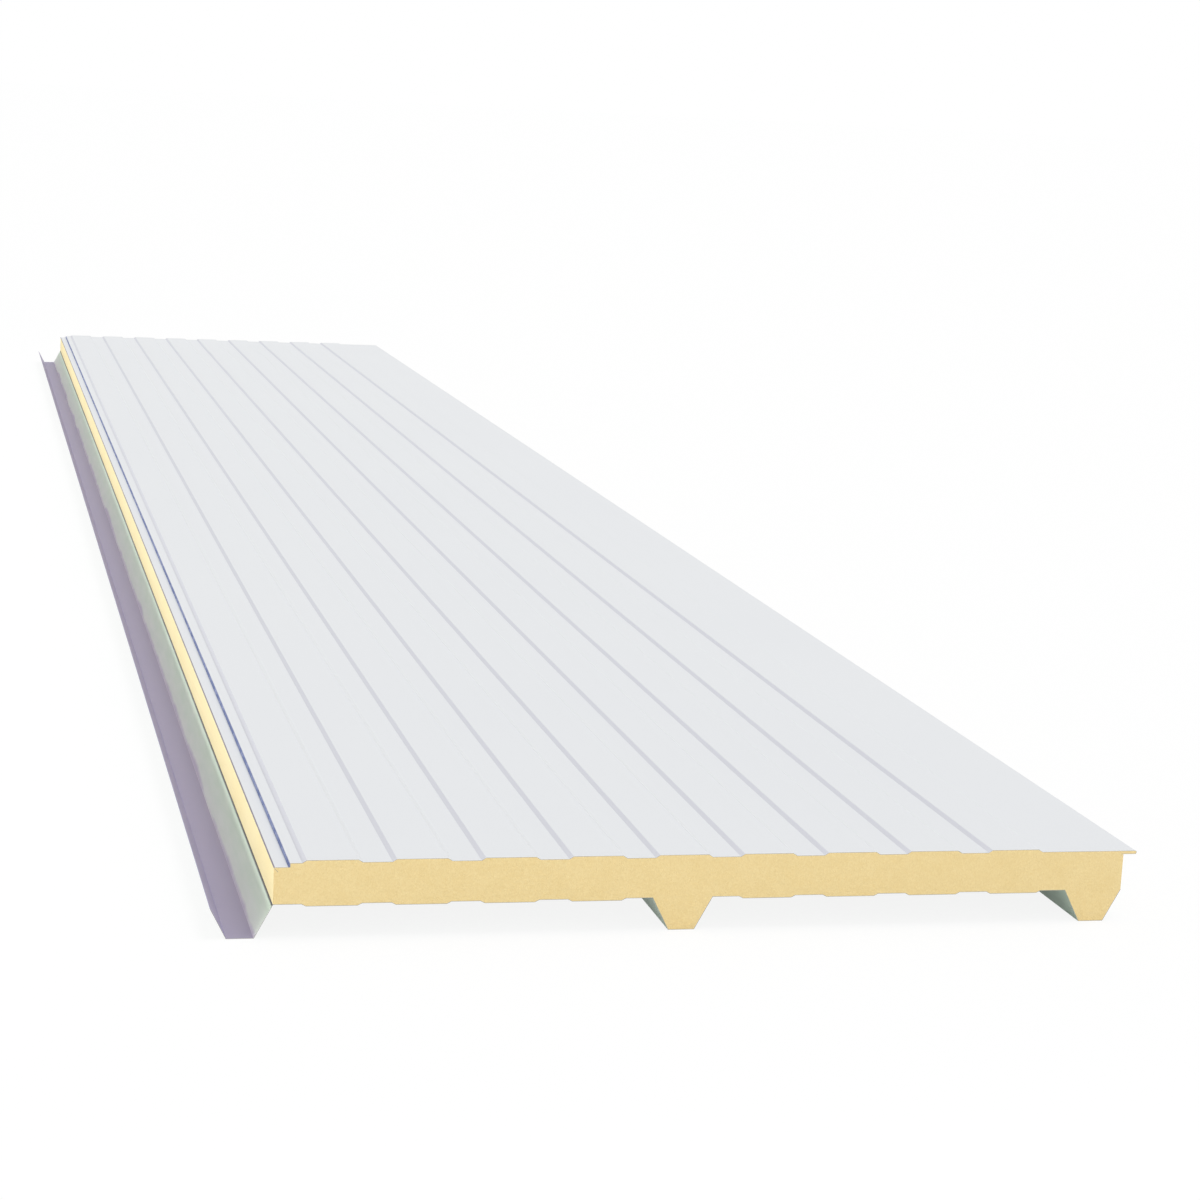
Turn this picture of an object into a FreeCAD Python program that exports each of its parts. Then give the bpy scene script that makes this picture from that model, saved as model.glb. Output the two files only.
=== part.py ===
import FreeCAD, Part
import enum
import math
import os

import Sketcher

# An insulated roof panel, lying with its ribs down and its flat lined face up.
# Two roll-formed steel sheets hold a block of rigid foam between them.
#
# Frame: X runs across the panel, Y along its length, Z up. The origin is the middle of
# the panel's box at the level of the rib crowns, which is what the panel lies on.
#
# Each sheet is drawn as one open line, the side of the sheet that the foam sticks to.
# The sheet's thickness is put on the other side of that line, and the foam's own
# outline runs through the same points, so the three always meet face to face.
# Within a section, u is counted from the middle of the empty rib and v from the floor.

DRIVING_SIZES = [
    # across and along
    ("panel_length", 6000, "cut length along the ribs"),
    ("rib_pitch", 500, "from one rib to the next"),
    # outer sheet
    ("outer_thickness", 0.5, "steel of the ribbed sheet"),
    ("rib_height", 38, "from the valley flat to the rib's crown"),
    ("rib_base", 70, "width of a rib where it leaves the flat"),
    ("rib_crown", 30, "width of a rib's crown"),
    ("free_web_height", 34, "height of the empty rib's free web"),
    ("swage_pitch", 100, "from one valley swage to the next"),
    ("swage_width", 57, "flat of a valley swage"),
    ("swage_slope", 5, "run of each side of a swage"),
    ("swage_depth", 2.5, "how far a swage stands out"),
    # foam and liner
    ("panel_thickness", 50, "over both sheets, valley flat to raised liner flat"),
    ("liner_thickness", 0.4, "steel of the liner sheet"),
    ("liner_pitch", 100, "from one raised flat to the next"),
    ("liner_flat", 57, "width of a raised flat"),
    ("liner_slope", 5, "run of each side of a raised flat"),
    ("liner_raise", 3, "height of a raised flat over the low one"),
    ("liner_start", 36, "from the foam's left face to the first raised flat"),
    # side joint
    ("strip_width", 18, "lowered strip that takes the next panel's lip"),
    ("strip_drop", 4.5, "how far the strip lies below the low flat"),
    ("edge_tuck", 5, "how deep the strip's edge is folded into the foam"),
    ("lip_reach", 16.5, "how far the lip stands out over the foam's face"),
    ("lip_thickness", 4, "over both leaves of the folded lip"),
    ("lip_tuck", 3, "how far the lip's lower leaf runs into the foam"),
    ("seal_width", 2, "bead along the foot of the step"),
    ("seal_height", 4, "bead up the step"),
    ("seal_round", 1.2, "radius of the bead's free edge"),
]
RIBS = 3
SWAGES_PER_VALLEY = 4
RAISED_FLATS = 9

doc = FreeCAD.newDocument("roof_panel")


# ---- the sheet of sizes ----

def make_sizes():
    sheet = doc.addObject("Spreadsheet::Sheet", "sizes")
    for row, (alias, value, note) in enumerate(DRIVING_SIZES, start=1):
        sheet.set(f"A{row}", alias)
        sheet.set(f"B{row}", str(value))
        sheet.set(f"C{row}", note)
        sheet.setAlias(f"B{row}", alias)
    doc.recompute()
    return sheet


sizes = make_sizes()

# Levels and stations that more than one piece uses, written in terms of the sheet.
CROWN_LEVEL = "sizes.outer_thickness"
VALLEY_LEVEL = "(sizes.outer_thickness + sizes.rib_height)"
RAISED_LEVEL = "(sizes.rib_height + sizes.panel_thickness - sizes.liner_thickness)"
LOW_LEVEL = f"({RAISED_LEVEL} - sizes.liner_raise)"
STRIP_LEVEL = f"({LOW_LEVEL} - sizes.strip_drop)"
FOAM_LEFT = "sizes.rib_base/2"
FOAM_RIGHT = f"({RIBS - 1}*sizes.rib_pitch + sizes.rib_base/2)"
STEP = f"({FOAM_LEFT} + sizes.strip_width)"
LIP_TIP = f"({FOAM_RIGHT} + sizes.lip_reach)"
# The lip is folded round a half circle inside its two leaves.
NOSE_RADIUS = "(sizes.lip_thickness/2 - sizes.liner_thickness)"
NOSE_CENTRE = f"({LIP_TIP} - sizes.lip_thickness/2)"
LEAF_LEVEL = f"({LOW_LEVEL} - 2*{NOSE_RADIUS})"

# The box runs from the free web's outer corner to the tip of the lip.
WEB_RUN = "((sizes.rib_base - sizes.rib_crown)/2)"
FREE_EDGE = f"(sizes.rib_crown/2 + {WEB_RUN}*sizes.free_web_height/sizes.rib_height)"
WEB_LENGTH = f"sqrt(sizes.rib_height^2 + {WEB_RUN}^2)"
BOX_LEFT = f"(0 - {FREE_EDGE} - sizes.outer_thickness*sizes.rib_height/{WEB_LENGTH})"
TO_CENTRE = f"(0 - ({BOX_LEFT} + {LIP_TIP})/2)"


# ---- points of the two sheet lines ----

def valley_points(valley):
    """Swages of one valley, centred between its two ribs."""
    middle = f"({valley} + 0.5)*sizes.rib_pitch"
    points = []
    for swage in range(SWAGES_PER_VALLEY):
        offset = swage - (SWAGES_PER_VALLEY - 1) / 2
        centre = f"({middle} + ({offset})*sizes.swage_pitch)"
        half = "sizes.swage_width/2"
        bottom = f"{VALLEY_LEVEL} - sizes.swage_depth"
        points += [
            (f"{centre} - {half} - sizes.swage_slope", VALLEY_LEVEL),
            (f"{centre} - {half}", bottom),
            (f"{centre} + {half}", bottom),
            (f"{centre} + {half} + sizes.swage_slope", VALLEY_LEVEL),
        ]
    return points


def rib_points(rib):
    """A whole rib: left base corner, crown, right base corner."""
    centre = f"{rib}*sizes.rib_pitch"
    return [
        (f"{centre} - sizes.rib_base/2", VALLEY_LEVEL),
        (f"{centre} - sizes.rib_crown/2", CROWN_LEVEL),
        (f"{centre} + sizes.rib_crown/2", CROWN_LEVEL),
        (f"{centre} + sizes.rib_base/2", VALLEY_LEVEL),
    ]


def foamed_outer_points():
    """The part of the outer sheet that the foam fills, from left to right."""
    points = [(FOAM_LEFT, VALLEY_LEVEL)]
    for valley in range(RIBS - 1):
        points += valley_points(valley) + rib_points(valley + 1)
    return points


def empty_rib_points():
    """The overlap rib, from the top of its free web to the crown's right corner."""
    return [
        (f"0 - {FREE_EDGE}", f"{CROWN_LEVEL} + sizes.free_web_height"),
        ("0 - sizes.rib_crown/2", CROWN_LEVEL),
        ("sizes.rib_crown/2", CROWN_LEVEL),
    ]


def lined_points():
    """The liner from its left fold to where the lip's nose begins."""
    points = [(FOAM_LEFT, STRIP_LEVEL), (STEP, STRIP_LEVEL), (STEP, LOW_LEVEL)]
    for flat in range(RAISED_FLATS):
        start = f"({FOAM_LEFT} + sizes.liner_start + {flat}*sizes.liner_pitch)"
        points += [
            (f"{start} - sizes.liner_slope", LOW_LEVEL),
            (start, RAISED_LEVEL),
            (f"{start} + sizes.liner_flat", RAISED_LEVEL),
            (f"{start} + sizes.liner_flat + sizes.liner_slope", LOW_LEVEL),
        ]
    return points + [(NOSE_CENTRE, LOW_LEVEL)]


TUCK_TIP = (f"{FOAM_LEFT} + sizes.edge_tuck", f"{STRIP_LEVEL} - sizes.edge_tuck")
LEAF_START = (NOSE_CENTRE, LEAF_LEVEL)
LEAF_END = (f"{FOAM_RIGHT} - sizes.lip_tuck", LEAF_LEVEL)


# ---- sketches ----

# the numbers 1, 2 and 3, by which a sketch constraint names a point of an edge
Point = enum.IntEnum("Point", "START END CENTRE")


def number(expression):
    return float(sizes.evalExpression(expression))


def from_origin(kind, edge, point, expression, name):
    """A named distance from the sketch's origin, with the expression that sets it."""
    # edge -1 is the sketch's own axes, and they start at its origin
    constraint = Sketcher.Constraint(kind, -1, Point.START, edge, point, number(expression))
    constraint.Name = name
    return constraint, expression


def pin(edge, point, place):
    """Hold one end of an edge at a place given as two expressions."""
    end = point.name.lower()
    return [
        from_origin("DistanceX", edge, point, place[0], f"u_of_{end}_{edge}"),
        from_origin("DistanceY", edge, point, place[1], f"v_of_{end}_{edge}"),
    ]


def half_circle(from_point, to_point):
    """The lip's nose, which bulges to the right, and its first and last ends."""
    middle = (from_point + to_point) / 2
    circle = Part.Circle(middle, FreeCAD.Vector(0, 0, 1), number(NOSE_RADIUS))
    upwards = to_point.y > from_point.y
    ends = (Point.START, Point.END) if upwards else (Point.END, Point.START)
    return Part.ArcOfCircle(circle, -math.pi / 2, math.pi / 2), ends


def draw_section(name, points, nose_after, closed=False):
    """A line across the panel, with every corner tied to the sheet of sizes.

    After the point numbered nose_after the line turns round the lip's half circle.
    Everywhere else it runs straight from point to point.
    """
    sketch = doc.addObject("Sketcher::SketchObject", name)
    upright = FreeCAD.Rotation(FreeCAD.Vector(1, 0, 0), 90)
    sketch.Placement = FreeCAD.Placement(FreeCAD.Vector(0, 0, 0), upright)
    corners = [FreeCAD.Vector(number(u), number(v), 0) for u, v in points]
    if closed:
        corners.append(corners[0])
    pins = []
    joints = []
    ends = (Point.START, Point.END)
    for i in range(len(corners) - 1):
        last_end = ends[1]
        if i == nose_after:
            curve, ends = half_circle(corners[i], corners[i + 1])
            # its two ends alone would leave it free to bulge
            pins.append(from_origin("DistanceX", i, Point.CENTRE, NOSE_CENTRE, "nose_centre"))
        else:
            curve = Part.LineSegment(corners[i], corners[i + 1])
            ends = (Point.START, Point.END)
        sketch.addGeometry(curve)
        pins += pin(i, ends[0], points[i])
        if i > 0:
            joints.append(Sketcher.Constraint("Coincident", i - 1, last_end, i, ends[0]))
    last = len(corners) - 2
    if closed:
        joints.append(Sketcher.Constraint("Coincident", last, ends[1], 0, Point.START))
    else:
        pins += pin(last, ends[1], points[-1])
    sketch.addConstraint(joints + [constraint for constraint, _ in pins])
    for constraint, expression in pins:
        sketch.setExpression(f"Constraints.{constraint.Name}", expression)
    return sketch


# ---- pieces ----

def extrude(name, section):
    """Run a section along the whole length, half of it each way."""
    piece = doc.addObject("Part::Extrusion", name)
    piece.Base = section
    piece.DirMode = "Custom"
    piece.Dir = FreeCAD.Vector(0, 1, 0)
    piece.Solid = True
    piece.Symmetric = True
    piece.setExpression("LengthFwd", "sizes.panel_length")
    piece.setExpression("Placement.Base.x", TO_CENTRE)
    return piece


def thicken(name, line, thickness):
    """Give a sheet's line its thickness, with the outside of each bend rounded."""
    band = doc.addObject("Part::Offset2D", name)
    band.Source = line
    band.Mode = "Skin"
    band.Join = "Arc"
    band.Fill = True
    band.setExpression("Value", thickness)
    return band


def make_outer_sheet():
    """The steel lies under the line, which is its foamed side."""
    points = empty_rib_points() + foamed_outer_points()
    line = draw_section("outer_line", points, nose_after=None)
    return extrude("outer_sheet", thicken("outer_band", line, "-sizes.outer_thickness"))


def make_liner_sheet():
    """The steel lies over the line, outside its left fold and outside the lip's nose."""
    points = [TUCK_TIP] + lined_points() + [LEAF_START, LEAF_END]
    nose = points.index(LEAF_START) - 1
    line = draw_section("liner_line", points, nose_after=nose)
    return extrude("liner_sheet", thicken("liner_band", line, "sizes.liner_thickness"))


def make_foam_core():
    """The foam follows both lines, and closes round the liner's two folded edges."""
    slant = "sizes.liner_thickness/sqrt(2)"
    tuck_u, tuck_v = TUCK_TIP
    leaf_u, leaf_v = LEAF_END
    under_leaf = f"{LEAF_LEVEL} - sizes.liner_thickness"
    right_side = [(FOAM_RIGHT, under_leaf), (leaf_u, under_leaf), (leaf_u, leaf_v), LEAF_START]
    left_side = [
        TUCK_TIP,
        (f"{tuck_u} - {slant}", f"{tuck_v} - {slant}"),
        (FOAM_LEFT, f"{STRIP_LEVEL} - 2*{slant}"),
    ]
    points = foamed_outer_points() + right_side + lined_points()[::-1] + left_side
    nose = points.index(LEAF_START)
    outline = draw_section("foam_outline", points, nose_after=nose, closed=True)
    return extrude("foam_core", outline)


def make_joint_seal():
    """A bead in the corner between the lowered strip and the step."""
    body = doc.addObject("PartDesign::Body", "joint_seal")
    body.setExpression("Placement.Base.x", f"{TO_CENTRE} + {STEP} - sizes.liner_thickness")
    body.setExpression("Placement.Base.z", f"{STRIP_LEVEL} + sizes.liner_thickness")

    sketch = body.newObject("Sketcher::SketchObject", "seal_section")
    plane = next(f for f in body.Origin.OriginFeatures if f.Role == "XZ_Plane")
    sketch.AttachmentSupport = [(plane, "")]
    sketch.MapMode = "FlatFace"
    # its right side stands against the step, its foot on the strip
    wide, tall = number("sizes.seal_width"), number("sizes.seal_height")
    corners = [FreeCAD.Vector(u, v, 0) for u, v in ((-wide, 0), (0, 0), (0, tall), (-wide, tall))]
    for i, corner in enumerate(corners):
        sketch.addGeometry(Part.LineSegment(corner, corners[(i + 1) % 4]))
        if i > 0:
            sketch.addConstraint(Sketcher.Constraint("Coincident", i - 1, Point.END, i, Point.START))
    sketch.addConstraint([
        Sketcher.Constraint("Coincident", 3, Point.END, 0, Point.START),
        Sketcher.Constraint("Coincident", 0, Point.END, -1, Point.START),
        Sketcher.Constraint("Horizontal", 0),
        Sketcher.Constraint("Vertical", 1),
        Sketcher.Constraint("Horizontal", 2),
        Sketcher.Constraint("Vertical", 3),
    ])
    for edge, kind, alias in ((0, "DistanceX", "seal_width"), (1, "DistanceY", "seal_height")):
        value = number(f"sizes.{alias}")
        constraint = Sketcher.Constraint(kind, edge, Point.START, edge, Point.END, value)
        constraint.Name = alias
        sketch.addConstraint(constraint)
        sketch.setExpression(f"Constraints.{alias}", f"sizes.{alias}")

    pad = body.newObject("PartDesign::Pad", "seal_pad")
    pad.Profile = sketch
    pad.SideType = "Symmetric"
    pad.setExpression("Length", "sizes.panel_length")
    doc.recompute()

    rounded = body.newObject("PartDesign::Fillet", "seal_rounding")
    rounded.Base = (pad, [free_long_edge(pad.Shape)])
    rounded.setExpression("Radius", "sizes.seal_round")
    body.Tip = rounded
    return body


def free_long_edge(shape):
    """The bead's long edge that touches neither the strip nor the step."""
    def height_less_run(numbered_edge):
        middle = numbered_edge[1].BoundBox.Center
        return middle.z - middle.x
    number_of_edge, _ = max(enumerate(shape.Edges, start=1), key=height_less_run)
    return f"Edge{number_of_edge}"


# ---- build, test and write ----

def check_document():
    """doc.recompute() can leave an object failed without saying so."""
    for feature in doc.Objects:
        if {"Invalid", "Error"} & set(feature.State):
            raise RuntimeError(f"{feature.Label} failed: {feature.State}")


def write_piece(piece):
    shape = piece.Shape
    if shape.isNull() or not shape.isValid() or len(shape.Solids) != 1:
        raise RuntimeError(f"{piece.Label} is not one valid solid")
    shape.exportStep(f"parts/{piece.Label}.step")
    box = shape.BoundBox
    print(f"{piece.Label}: {shape.Volume / 1e6:.3f} litres, {len(shape.Faces)} faces,"
          f" x {box.XMin:.2f}..{box.XMax:.2f}, z {box.ZMin:.2f}..{box.ZMax:.2f}")


pieces = [make_outer_sheet(), make_foam_core(), make_liner_sheet(), make_joint_seal()]
doc.recompute()
check_document()
os.makedirs("parts", exist_ok=True)
for piece in pieces:
    write_piece(piece)
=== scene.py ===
# %% [markdown]
# # Dressing an insulated roof panel
#
# The panel comes from the CAD frame with its real shape: a ribbed steel sheet below, a block
# of rigid foam, a lightly lined steel liner on top and a thin bead of sealant. It lies with
# its ribs on the floor. What is left to do here is the finish of every surface, the bead as
# it comes out of a nozzle, and a plain studio. Lengths are in metres, but for the lens.

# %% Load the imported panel
import math

import bmesh
import bpy
from mathutils import Matrix, Vector


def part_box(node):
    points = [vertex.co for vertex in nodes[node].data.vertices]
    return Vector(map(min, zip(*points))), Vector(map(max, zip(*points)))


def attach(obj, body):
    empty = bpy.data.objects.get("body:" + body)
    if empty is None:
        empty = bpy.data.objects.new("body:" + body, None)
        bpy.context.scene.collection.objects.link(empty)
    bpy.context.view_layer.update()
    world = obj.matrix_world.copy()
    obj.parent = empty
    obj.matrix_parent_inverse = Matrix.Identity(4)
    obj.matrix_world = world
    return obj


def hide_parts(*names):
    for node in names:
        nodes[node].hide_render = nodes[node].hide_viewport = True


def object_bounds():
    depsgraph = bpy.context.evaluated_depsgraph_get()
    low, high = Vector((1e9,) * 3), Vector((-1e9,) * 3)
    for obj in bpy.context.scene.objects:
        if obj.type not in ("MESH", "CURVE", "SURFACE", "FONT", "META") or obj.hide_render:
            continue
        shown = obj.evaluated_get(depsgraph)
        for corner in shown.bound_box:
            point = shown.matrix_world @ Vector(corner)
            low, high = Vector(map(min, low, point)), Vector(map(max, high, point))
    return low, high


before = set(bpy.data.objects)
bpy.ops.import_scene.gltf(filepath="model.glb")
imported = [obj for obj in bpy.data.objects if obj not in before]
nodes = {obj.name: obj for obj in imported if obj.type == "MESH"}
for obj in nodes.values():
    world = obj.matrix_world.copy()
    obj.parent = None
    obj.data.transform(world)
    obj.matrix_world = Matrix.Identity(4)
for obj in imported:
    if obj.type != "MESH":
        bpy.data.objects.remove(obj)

MM = 0.001
cad_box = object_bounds()
print("panel box in mm:", [round((high - low) / MM, 1) for low, high in zip(*cad_box)])

# %% Put new things into the scene


def link_new(name, data):
    """A new object with this data, put into the scene."""
    thing = bpy.data.objects.new(name, data)
    bpy.context.scene.collection.objects.link(thing)
    return thing


# %% [markdown]
# ## The camera
#
# The panel is seen from its front end, a little from the left and from above, so that both
# ends show. A long lens keeps the far end from shrinking too much. The direction is built
# from three turns, heading, dip and lean, because each of them can then be read and changed
# by itself. One typed rotation would look shorter, but nobody could tell what it says.

# %% Camera
LENS_MM = 81.8
HEADING = math.radians(13.73)      # to the right of the panel's length
DIP = math.radians(10.46)          # below the horizon
LEAN = math.radians(2.99)          # about the line of sight
BEFORE_FRONT_END = 2.870
LEFT_OF_MIDDLE = 0.825
EYE_HEIGHT = 0.926
SEEN_AS_FAR_AS = 400               # takes in the whole floor


def make_camera():
    """A long-lens camera in front of the panel's front end."""
    camera = link_new("studio_camera", bpy.data.cameras.new("studio_camera"))
    camera.data.lens = LENS_MM
    camera.data.clip_end = SEEN_AS_FAR_AS
    camera.location = (-LEFT_OF_MIDDLE, cad_box[0].y - BEFORE_FRONT_END, EYE_HEIGHT)
    turns = Matrix.Rotation(-HEADING, 3, "Z") @ Matrix.Rotation(math.pi / 2 - DIP, 3, "X")
    camera.rotation_euler = (turns @ Matrix.Rotation(LEAN, 3, "Z")).to_euler()
    bpy.context.scene.camera = camera


make_camera()

# %% [markdown]
# ## Colours and nodes
#
# Paint charts and colour pickers give colours as they look on a screen, and Cycles works
# with the light that a surface sends back, so each hex colour is made linear once, here.
# A material is a small graph. One helper adds any node: settings go in by name, and what
# goes into a socket is either a plain value or another node's output.

# %% Colour and node helpers


def paint(hex_colour):
    """A screen colour such as '#E7E9EB' as linear red, green, blue and alpha."""
    def linear(part):
        value = int(part, 16) / 255
        return value / 12.92 if value <= 0.04045 else ((value + 0.055) / 1.055) ** 2.4
    digits = hex_colour.lstrip("#")
    return (*(linear(digits[i:i + 2]) for i in (0, 2, 4)), 1.0)


def add(tree, kind, inputs=None, **settings):
    """One node, with its settings and with its sockets filled or linked."""
    node = tree.nodes.new(kind)
    for name, value in settings.items():
        setattr(node, name, value)
    for socket, value in (inputs or {}).items():
        if isinstance(value, bpy.types.NodeSocket):
            tree.links.new(value, node.inputs[socket])
        else:
            node.inputs[socket].default_value = value
    return node


def start_material(name):
    """An empty material with its shader, its output and object coordinates."""
    material = bpy.data.materials.new(name)
    material.use_nodes = True
    tree = material.node_tree
    tree.nodes.clear()
    shader = add(tree, "ShaderNodeBsdfPrincipled")
    add(tree, "ShaderNodeOutputMaterial", {"Surface": shader.outputs[0]})
    place = add(tree, "ShaderNodeTexCoord").outputs["Object"]
    return material, tree, shader, place


def mix(tree, share, first, second):
    """A colour between two others: share 0 is the first, 1 the second."""
    node = add(tree, "ShaderNodeMix", {0: share, 6: first, 7: second}, data_type="RGBA")
    return node.outputs[2]


def between(tree, value, low, high, to_low=0.0, to_high=1.0):
    """value moved from the range low..high to another range, and kept inside it."""
    node = add(tree, "ShaderNodeMapRange", {0: value, 1: low, 2: high, 3: to_low, 4: to_high})
    return node.outputs[0]


def stretched_noise(tree, place, size, stretch, detail=2.0):
    """A noise of this size, drawn out along each axis by the three factors."""
    scale = [1 / factor for factor in stretch]
    drawn_out = add(tree, "ShaderNodeMapping", {"Vector": place, "Scale": scale})
    noise = add(tree, "ShaderNodeTexNoise",
                {"Vector": drawn_out.outputs[0], "Scale": 1 / size, "Detail": detail})
    return noise.outputs[0]


def dress(piece, material):
    """Give a piece one material all over."""
    piece.data.materials.clear()
    piece.data.materials.append(material)
    print(piece.name, "wears", material.name, "made of", len(material.node_tree.nodes), "nodes")


# %% [markdown]
# ## Where a surface is: cut, coated or foamed
#
# One piece can have more than one finish. The steel sheets are coated on both faces, but
# their ends were cut after coating and show bare metal. The foam has a skin where it met
# the forming line, and open cells where a saw went through it. All the cuts face along the
# panel's length, so the direction that a face looks in tells them apart.

# %% Masks
CUT_LEAST = 0.7                    # how far along the panel a face looks to count as cut
EDGE_BLUR = 0.3 * MM               # over which one finish gives way to the next


def facing(tree):
    """The three parts of the direction that a face looks in."""
    normal = add(tree, "ShaderNodeNewGeometry").outputs["True Normal"]
    return add(tree, "ShaderNodeSeparateXYZ", {0: normal}).outputs


def is_cut(tree):
    """1 on the sawn or sheared ends, 0 elsewhere."""
    along = add(tree, "ShaderNodeMath", {0: facing(tree)["Y"]}, operation="ABSOLUTE")
    cut = add(tree, "ShaderNodeMath", {0: along.outputs[0], 1: CUT_LEAST},
              operation="GREATER_THAN")
    return cut.outputs[0]


def looks_up(tree):
    """1 where a face looks upwards at all, 0 where it looks down."""
    up = add(tree, "ShaderNodeMath", {0: facing(tree)["Z"], 1: 0.0}, operation="GREATER_THAN")
    return up.outputs[0]


# %% [markdown]
# ## Coil-coated steel
#
# Both sheets are hot-dip galvanised steel, painted as a flat coil before the ribs are
# rolled in. Polyester coil coat is satin and very even. Close up it has a faint orange
# peel, waves of a millimetre or two, which breaks up reflections a little.

# %% Coil coat
COAT_ROUGHNESS = 0.5
COAT_SHEEN_LEVEL = 0.25            # polyester satin reflects less than a bare gloss paint
PEEL_WAVE = 1.6 * MM
PEEL_DEPTH = 0.015 * MM
ZINC = paint("#9A9994")
CUT_STEEL_ROUGHNESS = 0.35
CUT_STEEL_METALLIC = 0.8


def coil_coat(tree, shader, place, coat):
    """The parts that both sheets share: peel, sheen, and bare metal on the cut ends."""
    peel = add(tree, "ShaderNodeTexNoise",
               {"Vector": place, "Scale": 1 / PEEL_WAVE, "Detail": 1.0}).outputs[0]
    bump = add(tree, "ShaderNodeBump", {"Height": peel, "Distance": PEEL_DEPTH})
    cut = is_cut(tree)
    colour = mix(tree, cut, coat, ZINC)
    tree.links.new(colour, shader.inputs["Base Color"])
    roughness = between(tree, cut, 0, 1, COAT_ROUGHNESS, CUT_STEEL_ROUGHNESS)
    tree.links.new(roughness, shader.inputs["Roughness"])
    metallic = between(tree, cut, 0, 1, 0, CUT_STEEL_METALLIC)
    tree.links.new(metallic, shader.inputs["Metallic"])
    tree.links.new(bump.outputs[0], shader.inputs["Normal"])
    shader.inputs["Specular IOR Level"].default_value = COAT_SHEEN_LEVEL


# %% [markdown]
# The liner faces into the building, so it is the light grey-white that such ceilings are.
# A coil's colour drifts very slightly along its length, which one broad, weak noise gives.
# The slopes between the flats are painted a shade darker than the flats, as shade. The
# slopes that face right get a little of it, which evens out the key light on them. The left
# slope of each raised flat gets more, which draws the lining together with the key light.
# The deep step and the first slope are painted darker again, as shade that makes up for the
# studio's side strip, which shines on them from end to end; otherwise they would stand out
# from the other slopes. At the left the sheet is folded down into the foam, and a grey line
# is painted along that sharp fold.

# %% Liner finish
LINER_COAT = paint("#E6E8EA")
LINER_DRIFT = paint("#E3E5E8")
LINER_DRIFTS = 1.5                 # a metre
# painted shade: the slope colours are darker than the flat coat and stand in for shade
RIGHT_SLOPE_PAINTED_SHADE = paint("#E0E2E4")
LEFT_SLOPE_PAINTED_SHADE = paint("#DADBE2")
FIRST_SLOPE_PAINTED_SHADE = paint("#D1D2D9")
FIRST_SLOPE_ENDS = 38 * MM         # just past its end, from the liner's left edge
SLOPE_LEAST = 0.2                  # how far sideways a face looks to count as a slope
# a grey line painted along the sharp fold at the liner's left edge
FOLD_GREY_LINE = paint("#7B7381")
FOLD_WIDE = 1.6 * MM


def liner_finish():
    """Light polyester coil coat that drifts, with painted shade on the slopes and a grey fold.
    """
    material, tree, shader, place = start_material("coil_coated_liner")
    drift = add(tree, "ShaderNodeTexNoise",
                {"Vector": place, "Scale": LINER_DRIFTS, "Detail": 3.0})
    coat = mix(tree, drift.outputs[0], LINER_COAT, LINER_DRIFT)
    aside = facing(tree)["X"]
    looks_left = add(tree, "ShaderNodeMath", {0: aside, 1: -SLOPE_LEAST}, operation="LESS_THAN")
    looks_right = add(tree, "ShaderNodeMath", {0: aside, 1: SLOPE_LEAST},
                      operation="GREATER_THAN")
    across = add(tree, "ShaderNodeSeparateXYZ", {0: place}).outputs["X"]
    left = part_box("liner_sheet")[0].x
    first_ends = left + FIRST_SLOPE_ENDS
    beyond_first = between(tree, across, first_ends, first_ends + EDGE_BLUR)
    # painted shade on the slopes, darkest on the step and the first slope
    slope_shade = mix(tree, beyond_first, FIRST_SLOPE_PAINTED_SHADE, LEFT_SLOPE_PAINTED_SHADE)
    coat = mix(tree, looks_left.outputs[0], coat, slope_shade)
    coat = mix(tree, looks_right.outputs[0], coat, RIGHT_SLOPE_PAINTED_SHADE)
    # the grey line along the fold
    off_fold_line = between(tree, across, left + FOLD_WIDE - EDGE_BLUR, left + FOLD_WIDE)
    coat = mix(tree, off_fold_line, FOLD_GREY_LINE, coat)
    coil_coat(tree, shader, place, coat)
    return material


dress(nodes["liner_sheet"], liner_finish())

# %% [markdown]
# The outer sheet has a sage grey top coat on the weather side, which looks down here. Its
# back has a thin lilac-grey backing coat, seen only inside the empty rib. On the outer web
# that coat is painted a shade lighter and bluer, as light that makes up for the shade there,
# so that the web matches the crown. On the web next to the foam a pale film has dried over
# it, where some foam mix crept past the edge tape. Low down the film is so thin that the
# lilac still shows through. Above that it is whitish, and greener near the foam. The film's
# colours are painted light as well, lightest low down, to make up for the shade in the rib.
# The edge between the two wanders, which a noise that changes only along the panel gives,
# and the film is blotched, which a second one gives. A dark line is painted along the fold
# where the web meets the foam.

# %% Outer sheet finish
WEATHER_COAT = paint("#A9BBAB")
BACKING_COAT = paint("#9E97B1")
# painted light: the outer web's coat is lighter to make up for the shade that falls on it
OUTER_WEB_PAINTED_LIGHT = paint("#A29BBC")
# painted light: the film's colours are lighter low down, to make up for the rib's shade
FAINT_FILM_PAINTED_LIGHT = paint("#D6CFDC")
FILM_FOOT_PAINTED_LIGHT = paint("#F7FBF0")
FILM_HIGH = paint("#D6E9D2")
# a dark line painted along the fold where the web meets the foam
FOLD_LINE = paint("#262520")
RIB_MIDDLE = 33.4 * MM             # from the panel's left side
WEB_STARTS = 14.6 * MM             # from the empty rib's middle
WEB_TOP = 38.5 * MM
FILM_EDGE_LOWEST = -4 * MM
FILM_EDGE_HIGHEST = 6 * MM
FILM_EDGE_SOFT = 5 * MM
WANDERS = 3.0                      # a metre
WANDER_LEAST = 0.3                 # the noise seldom leaves this range
WANDER_MOST = 0.7
FOLD_LINE_HIGH = 3.4 * MM
FILM_BLOTCH = 12 * MM
BLOTCH_LENGTHS = 6                 # how many times longer than wide a blotch is
BLOTCH_WEIGHT = 0.7                # of the film's whole change of colour


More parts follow.
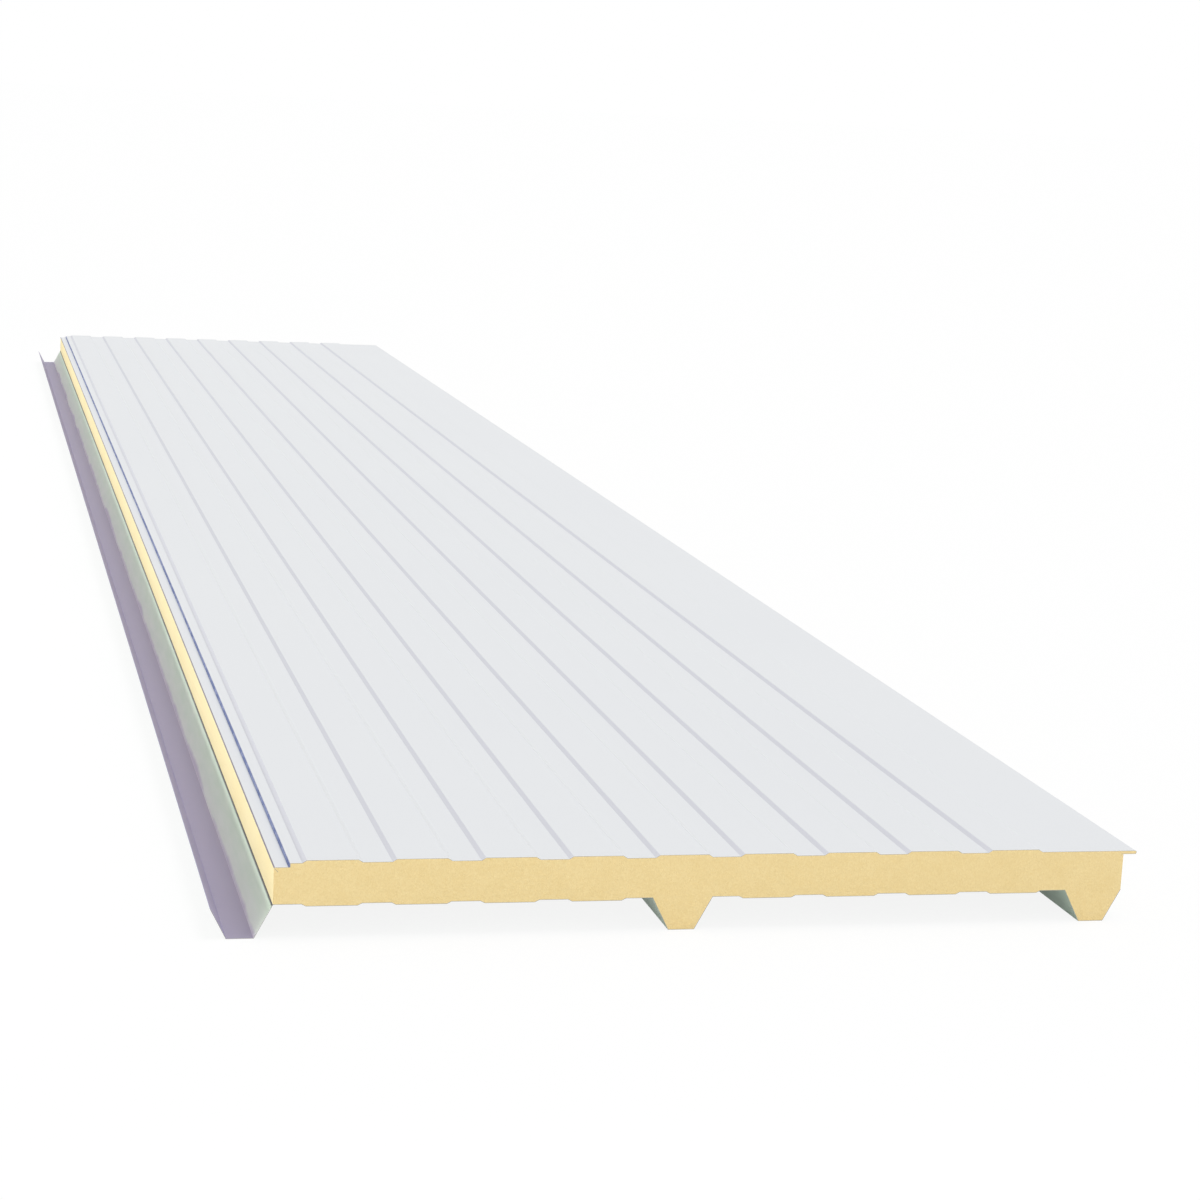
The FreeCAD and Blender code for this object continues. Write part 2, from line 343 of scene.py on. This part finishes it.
def outer_finish():
    """Sage coat below, lilac backing above, film by the foam; painted light on web and film."""
    material, tree, shader, place = start_material("coil_coated_ribbed_sheet")
    where = add(tree, "ShaderNodeSeparateXYZ", {0: place}).outputs
    rib_middle = cad_box[0].x + RIB_MIDDLE
    web_start = rib_middle + WEB_STARTS
    on_web = between(tree, where["X"], web_start, web_start + EDGE_BLUR)
    outer_web_start = rib_middle - WEB_STARTS
    on_outer_web = between(tree, where["X"], outer_web_start, outer_web_start - EDGE_BLUR)
    lengthwise = add(tree, "ShaderNodeMapping", {"Vector": place, "Scale": (0, WANDERS, 0)})
    wander = add(tree, "ShaderNodeTexNoise", {"Vector": lengthwise.outputs[0], "Scale": 1.0,
                                              "Detail": 6.0, "Roughness": 0.6}).outputs[0]
    edge = between(tree, wander, WANDER_LEAST, WANDER_MOST, FILM_EDGE_LOWEST,
                   FILM_EDGE_HIGHEST)
    above = add(tree, "ShaderNodeMath", {0: where["Z"], 1: edge}, operation="SUBTRACT")
    covered = between(tree, above.outputs[0], 0, FILM_EDGE_SOFT)
    blotch = stretched_noise(tree, place, FILM_BLOTCH, (1, BLOTCH_LENGTHS, 1), detail=4.0)
    blotch = between(tree, blotch, 0, 1, -BLOTCH_WEIGHT / 2, BLOTCH_WEIGHT / 2)
    # the film is painted lighter towards the bottom of the web, as light against the rib's
    # shade
    height = add(tree, "ShaderNodeMath", {0: between(tree, where["Z"], 0, WEB_TOP), 1: blotch},
                 operation="ADD", use_clamp=True)
    film_lighter_low = mix(tree, height.outputs[0], FILM_FOOT_PAINTED_LIGHT, FILM_HIGH)
    film = mix(tree, covered, FAINT_FILM_PAINTED_LIGHT, film_lighter_low)
    # painted light on the outer web
    backing = mix(tree, on_outer_web, BACKING_COAT, OUTER_WEB_PAINTED_LIGHT)
    backing = mix(tree, on_web, backing, film)
    fold = between(tree, where["Z"], WEB_TOP - FOLD_LINE_HIGH, WEB_TOP - FOLD_LINE_HIGH / 2)
    fold_there = add(tree, "ShaderNodeMath", {0: on_web, 1: fold}, operation="MULTIPLY")
    backing = mix(tree, fold_there.outputs[0], backing, FOLD_LINE)
    coat = mix(tree, looks_up(tree), WEATHER_COAT, backing)
    coil_coat(tree, shader, place, coat)
    return material


dress(nodes["outer_sheet"], outer_finish())

# %% [markdown]
# ## Rigid foam
#
# Polyurethane foam rises between the two sheets and sets. Where it was sawn it shows its
# cells, under a millimetre across and drawn out upwards, the way the foam rose. A Voronoi
# pattern is a good cell wall: its distance from each cell's middle makes the hollows, and
# its random colour per cell makes some of them lighter. The cells are drawn 1.2 mm wide, so
# that they show. A wider, weak noise deepens patches of them, where the foam is denser. The
# saw's teeth ran straight across the panel and left faint level lines, which a noise drawn
# out across the panel gives.
#
# Where the foam set against the side tape it has a smooth paler skin. The tape left long
# shallow creases in it, and small bubbles burst into pinholes. So the skin isn't flat and
# plastic to the eye, though it is far smoother than the sawn ends.

# %% Foam finish
SAWN_FOAM = paint("#F0DAA3")
SAWN_FOAM_DEEP = paint("#E4C98B")
FOAM_SKIN = paint("#FFF2C2")
FOAM_SKIN_DEEP = paint("#FAE8AE")
PINHOLE = paint("#D9BE7E")
FOAM_ROUGHNESS = 0.85
FOAM_SHEEN_LEVEL = 0.2
CELL = 1.2 * MM
CELL_DEPTH = 0.4 * MM
CELL_TONE = 0.5                    # of the way to the deep colour, at most
RISE_STRETCH = 1.6
DENSE_PATCHES = 35                 # a metre
DENSE_FROM = 0.4                   # the noise's level where a patch begins to show
DENSE_FULL = 0.75
DENSE_TONE = 0.25                  # of the way to the deep colour, at most
SAW_LINE = 2.5 * MM
SAW_LINE_LENGTHS = 60              # how many times longer than high a saw line is
SAW_DEPTH = 0.25 * MM
SKIN_DRIFTS = 9                    # a metre
CREASE = 4 * MM
CREASE_DEPTH = 0.5 * MM
CREASE_LENGTHS = 30                # how many times longer than wide a crease is
PINHOLE_SPACING = 9 * MM
PINHOLE_SIZE = 0.08                # of the spacing


def sawn_foam(tree, place):
    """Colour and bump of the sawn ends."""
    risen = add(tree, "ShaderNodeMapping",
                {"Vector": place, "Scale": (1, 1, 1 / RISE_STRETCH)}).outputs[0]
    cells = add(tree, "ShaderNodeTexVoronoi", {"Vector": risen, "Scale": 1 / CELL})
    cell_tone = add(tree, "ShaderNodeSeparateColor", {0: cells.outputs["Color"]}).outputs[0]
    cell_share = between(tree, cell_tone, 0, 1, 0.0, CELL_TONE)
    tone = mix(tree, cell_share, SAWN_FOAM, SAWN_FOAM_DEEP)
    patches = add(tree, "ShaderNodeTexNoise",
                  {"Vector": place, "Scale": DENSE_PATCHES, "Detail": 4.0})
    dense = between(tree, patches.outputs[0], DENSE_FROM, DENSE_FULL, 0, DENSE_TONE)
    hollows = add(tree, "ShaderNodeBump",
                  {"Height": cells.outputs["Distance"], "Distance": CELL_DEPTH})
    saw = stretched_noise(tree, place, SAW_LINE, (SAW_LINE_LENGTHS, 1, 1))
    bump = add(tree, "ShaderNodeBump",
               {"Height": saw, "Distance": SAW_DEPTH, "Normal": hollows.outputs[0]})
    return mix(tree, dense, tone, SAWN_FOAM_DEEP), bump.outputs[0]


def skinned_foam(tree, place):
    """Colour and bump of the sides that set against the tape."""
    drift = add(tree, "ShaderNodeTexNoise",
                {"Vector": place, "Scale": SKIN_DRIFTS, "Detail": 5.0})
    skin = mix(tree, drift.outputs[0], FOAM_SKIN, FOAM_SKIN_DEEP)
    spots = add(tree, "ShaderNodeTexVoronoi", {"Vector": place, "Scale": 1 / PINHOLE_SPACING})
    hole = between(tree, spots.outputs["Distance"], PINHOLE_SIZE, PINHOLE_SIZE / 2)
    creases = stretched_noise(tree, place, CREASE, (1, CREASE_LENGTHS, 1))
    bump = add(tree, "ShaderNodeBump", {"Height": creases, "Distance": CREASE_DEPTH})
    return mix(tree, hole, skin, PINHOLE), bump.outputs[0]


def foam_finish():
    """Sawn foam on the ends and skinned foam on the sides."""
    material, tree, shader, place = start_material("rigid_polyurethane_foam")
    sawn, sawn_bump = sawn_foam(tree, place)
    skin, skin_bump = skinned_foam(tree, place)
    cut = is_cut(tree)
    bump = add(tree, "ShaderNodeMix", {0: cut, 4: skin_bump, 5: sawn_bump}, data_type="VECTOR")
    tree.links.new(mix(tree, cut, skin, sawn), shader.inputs["Base Color"])
    tree.links.new(bump.outputs[1], shader.inputs["Normal"])
    shader.inputs["Roughness"].default_value = FOAM_ROUGHNESS
    shader.inputs["Specular IOR Level"].default_value = FOAM_SHEEN_LEVEL
    return material


dress(nodes["foam_core"], foam_finish())

# %% [markdown]
# ## The bead of sealant
#
# A nozzle lays the bead into the corner of the step, so it is a soft bow between the strip
# and the riser, and it swells and thins a little as the nozzle pulses. A straight bar would
# look machined. The bow is a quarter of an ellipse, spun from one point with the spin tool.
# That section is drawn out along the panel ring by ring, and the rings are then scaled
# towards the corner that the bead was pressed into, so its two flat sides stay in place.

# %% Sealant bead
BEAD_STEP = 20 * MM
BEAD_ARC_STEPS = 8
BEAD_THINNEST = 0.86               # of its full width and height
PULSE = 0.37                       # metres between two swells
SLOW_PULSE = 1.31
FLAT_SIDE = 0.999                  # a face this squarely sideways or level isn't smoothed
SLATE_BLUE = paint("#6F7BA6")
SEALANT_ROUGHNESS = 0.6
SEALANT_SHEEN_LEVEL = 0.3
RIPPLES = 240                      # a metre
RIPPLE_DEPTH = 0.1 * MM


def lay_bead():
    """The bead as one closed mesh that stays inside its CAD solid's box."""
    low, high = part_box("joint_seal")
    corner = Vector((high.x, low.y, low.z))
    mesh = bmesh.new()
    top = mesh.verts.new((high.x, low.y, high.z))
    bmesh.ops.spin(mesh, geom=[top], cent=corner, axis=(0, -1, 0),
                   angle=math.pi / 2, steps=BEAD_ARC_STEPS)
    for vert in mesh.verts:
        vert.co.x = high.x - abs(vert.co.x - high.x) * (high.x - low.x) / (high.z - low.z)
    bow = sorted(mesh.verts, key=lambda vert: vert.co.z)
    start = mesh.faces.new([mesh.verts.new(corner), *bow])
    rings = round((high.y - low.y) / BEAD_STEP)
    end = start
    for _ in range(rings):
        grown = bmesh.ops.extrude_face_region(mesh, geom=[end], use_keep_orig=end is start)
        end = next(item for item in grown["geom"] if isinstance(item, bmesh.types.BMFace))
        step = Vector((0, (high.y - low.y) / rings, 0))
        bmesh.ops.translate(mesh, verts=end.verts, vec=step)
    for vert in mesh.verts:
        wave = math.sin(vert.co.y / PULSE * math.tau)
        slow_wave = math.sin(vert.co.y / SLOW_PULSE * math.tau)
        thinned = 0.5 - (wave + slow_wave) / 4     # 0 where both crest, 1 where both dip
        size = 1 - (1 - BEAD_THINNEST) * thinned
        vert.co.x = corner.x + (vert.co.x - corner.x) * size
        vert.co.z = corner.z + (vert.co.z - corner.z) * size
    bmesh.ops.recalc_face_normals(mesh, faces=mesh.faces)
    for face in mesh.faces:
        face.smooth = abs(face.normal.x) < FLAT_SIDE and abs(face.normal.z) < FLAT_SIDE
    data = bpy.data.meshes.new("nozzle_laid_bead")
    mesh.to_mesh(data)
    mesh.free()
    bead = link_new("nozzle_laid_bead", data)
    print("bead:", rings, "rings,", len(data.polygons), "faces")
    return bead


def sealant_finish():
    """Cured butyl sealant: slate blue, slightly tacky, so it shines in soft patches."""
    material, tree, shader, place = start_material("cured_butyl_sealant")
    ripple = add(tree, "ShaderNodeTexNoise", {"Vector": place, "Scale": RIPPLES, "Detail": 2.0})
    bump = add(tree, "ShaderNodeBump", {"Height": ripple.outputs[0], "Distance": RIPPLE_DEPTH})
    shader.inputs["Base Color"].default_value = SLATE_BLUE
    shader.inputs["Roughness"].default_value = SEALANT_ROUGHNESS
    shader.inputs["Specular IOR Level"].default_value = SEALANT_SHEEN_LEVEL
    tree.links.new(bump.outputs[0], shader.inputs["Normal"])
    return material


bead = lay_bead()
dress(bead, sealant_finish())
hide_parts("joint_seal")
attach(bead, "root")

# %% [markdown]
# ## Studio
#
# The panel lies on a white floor under a white sky. A broad key light from the upper right
# makes the slopes that face left a little darker than the flats. Together with the painted
# shade on the slopes, that draws the lining. Upright faces would get only half of the sky,
# so two low strip lights lift them. The strips end below the panel's top, so they reach
# hardly anything of the liner but the step and the first slope, and the lining keeps its
# contrast. The floor is nearly white to the eye but keeps a soft shadow.

# %% Studio
FLOOR_WHITE = paint("#FDFDFD")
FLOOR_GLOW = 0.88                  # how much of the white floor is plain white to the eye
FLOOR_REACH = 150                  # from its middle to each side
SKY_LEVEL = 0.68
KEY_STRENGTH = 1.03
KEY_SOFTNESS = math.radians(30)
KEY_TILT_RIGHT = math.radians(17)
STRIP_LOW = 10 * MM
STRIP_HIGH = 78 * MM
FRONT_STRIP_POWER = 3.1            # watts
FRONT_STRIP_AWAY = 1.0
SIDE_STRIP_POWER = 11.0
SIDE_STRIP_AWAY = 0.6
FRONT_SPARE = 1.6                  # by how much a strip is longer than the side it lights
SIDE_SPARE = 0.6


def background_rays(tree):
    """1 for the rays that the eye, a gloss or a clear pane sends out, 0 for light."""
    rays = add(tree, "ShaderNodeLightPath").outputs
    seen = rays["Is Camera Ray"]
    for kind in ("Is Glossy Ray", "Is Transmission Ray"):
        seen = add(tree, "ShaderNodeMath", {0: seen, 1: rays[kind]}, operation="MAXIMUM")
        seen = seen.outputs[0]
    return seen


def make_sky():
    """A white world: full white to the eye, dimmer as a light."""
    world = bpy.data.worlds.new("studio_sky")
    bpy.context.scene.world = world
    world.use_nodes = True
    tree = world.node_tree
    tree.nodes.clear()
    level = between(tree, background_rays(tree), 0, 1, SKY_LEVEL, 1.0)
    sky = add(tree, "ShaderNodeBackground", {"Color": (1, 1, 1, 1), "Strength": level})
    add(tree, "ShaderNodeOutputWorld", {"Surface": sky.outputs[0]})


def make_key_light():
    """A broad sun, leaning to the right."""
    lamp = bpy.data.lights.new("key_light", "SUN")
    lamp.energy = KEY_STRENGTH
    lamp.angle = KEY_SOFTNESS
    link_new("key_light", lamp).rotation_euler = (0, KEY_TILT_RIGHT, 0)


def make_strip_light(name, power, length, place, turn):
    """A long low strip light that shines level, turned about the upright axis."""
    lamp = bpy.data.lights.new(name, "AREA")
    lamp.shape = "RECTANGLE"
    lamp.size = length
    lamp.size_y = STRIP_HIGH - STRIP_LOW
    lamp.energy = power
    strip = link_new(name, lamp)
    strip.location = (*place, (STRIP_LOW + STRIP_HIGH) / 2)
    strip.rotation_euler = (math.pi / 2, 0, turn)


def make_floor():
    """A matt white floor that glows to the eye and keeps the panel's shadow."""
    mesh = bmesh.new()
    bmesh.ops.create_grid(mesh, x_segments=1, y_segments=1, size=FLOOR_REACH)
    data = bpy.data.meshes.new("studio_floor")
    mesh.to_mesh(data)
    mesh.free()
    floor = link_new("studio_floor", data)
    material, tree, shader, _ = start_material("studio_floor")
    shader.inputs["Base Color"].default_value = FLOOR_WHITE
    shader.inputs["Roughness"].default_value = 1.0
    shader.inputs["Specular IOR Level"].default_value = 0.0
    plain_white = add(tree, "ShaderNodeEmission", {"Color": (1, 1, 1, 1), "Strength": 1.0})
    glow = between(tree, background_rays(tree), 0, 1, 0, FLOOR_GLOW)
    both = add(tree, "ShaderNodeMixShader",
               {0: glow, 1: shader.outputs[0], 2: plain_white.outputs[0]})
    output = next(node for node in tree.nodes if node.type == "OUTPUT_MATERIAL")
    tree.links.new(both.outputs[0], output.inputs["Surface"])
    dress(floor, material)


make_sky()
make_key_light()
low, high = cad_box
make_strip_light("front_strip", FRONT_STRIP_POWER, high.x - low.x + FRONT_SPARE,
                 (0, low.y - FRONT_STRIP_AWAY), 0)
make_strip_light("side_strip", SIDE_STRIP_POWER, high.y - low.y + SIDE_SPARE,
                 (low.x - SIDE_STRIP_AWAY, 0), -math.pi / 2)
make_floor()
bpy.context.scene.view_settings.view_transform = "Standard"
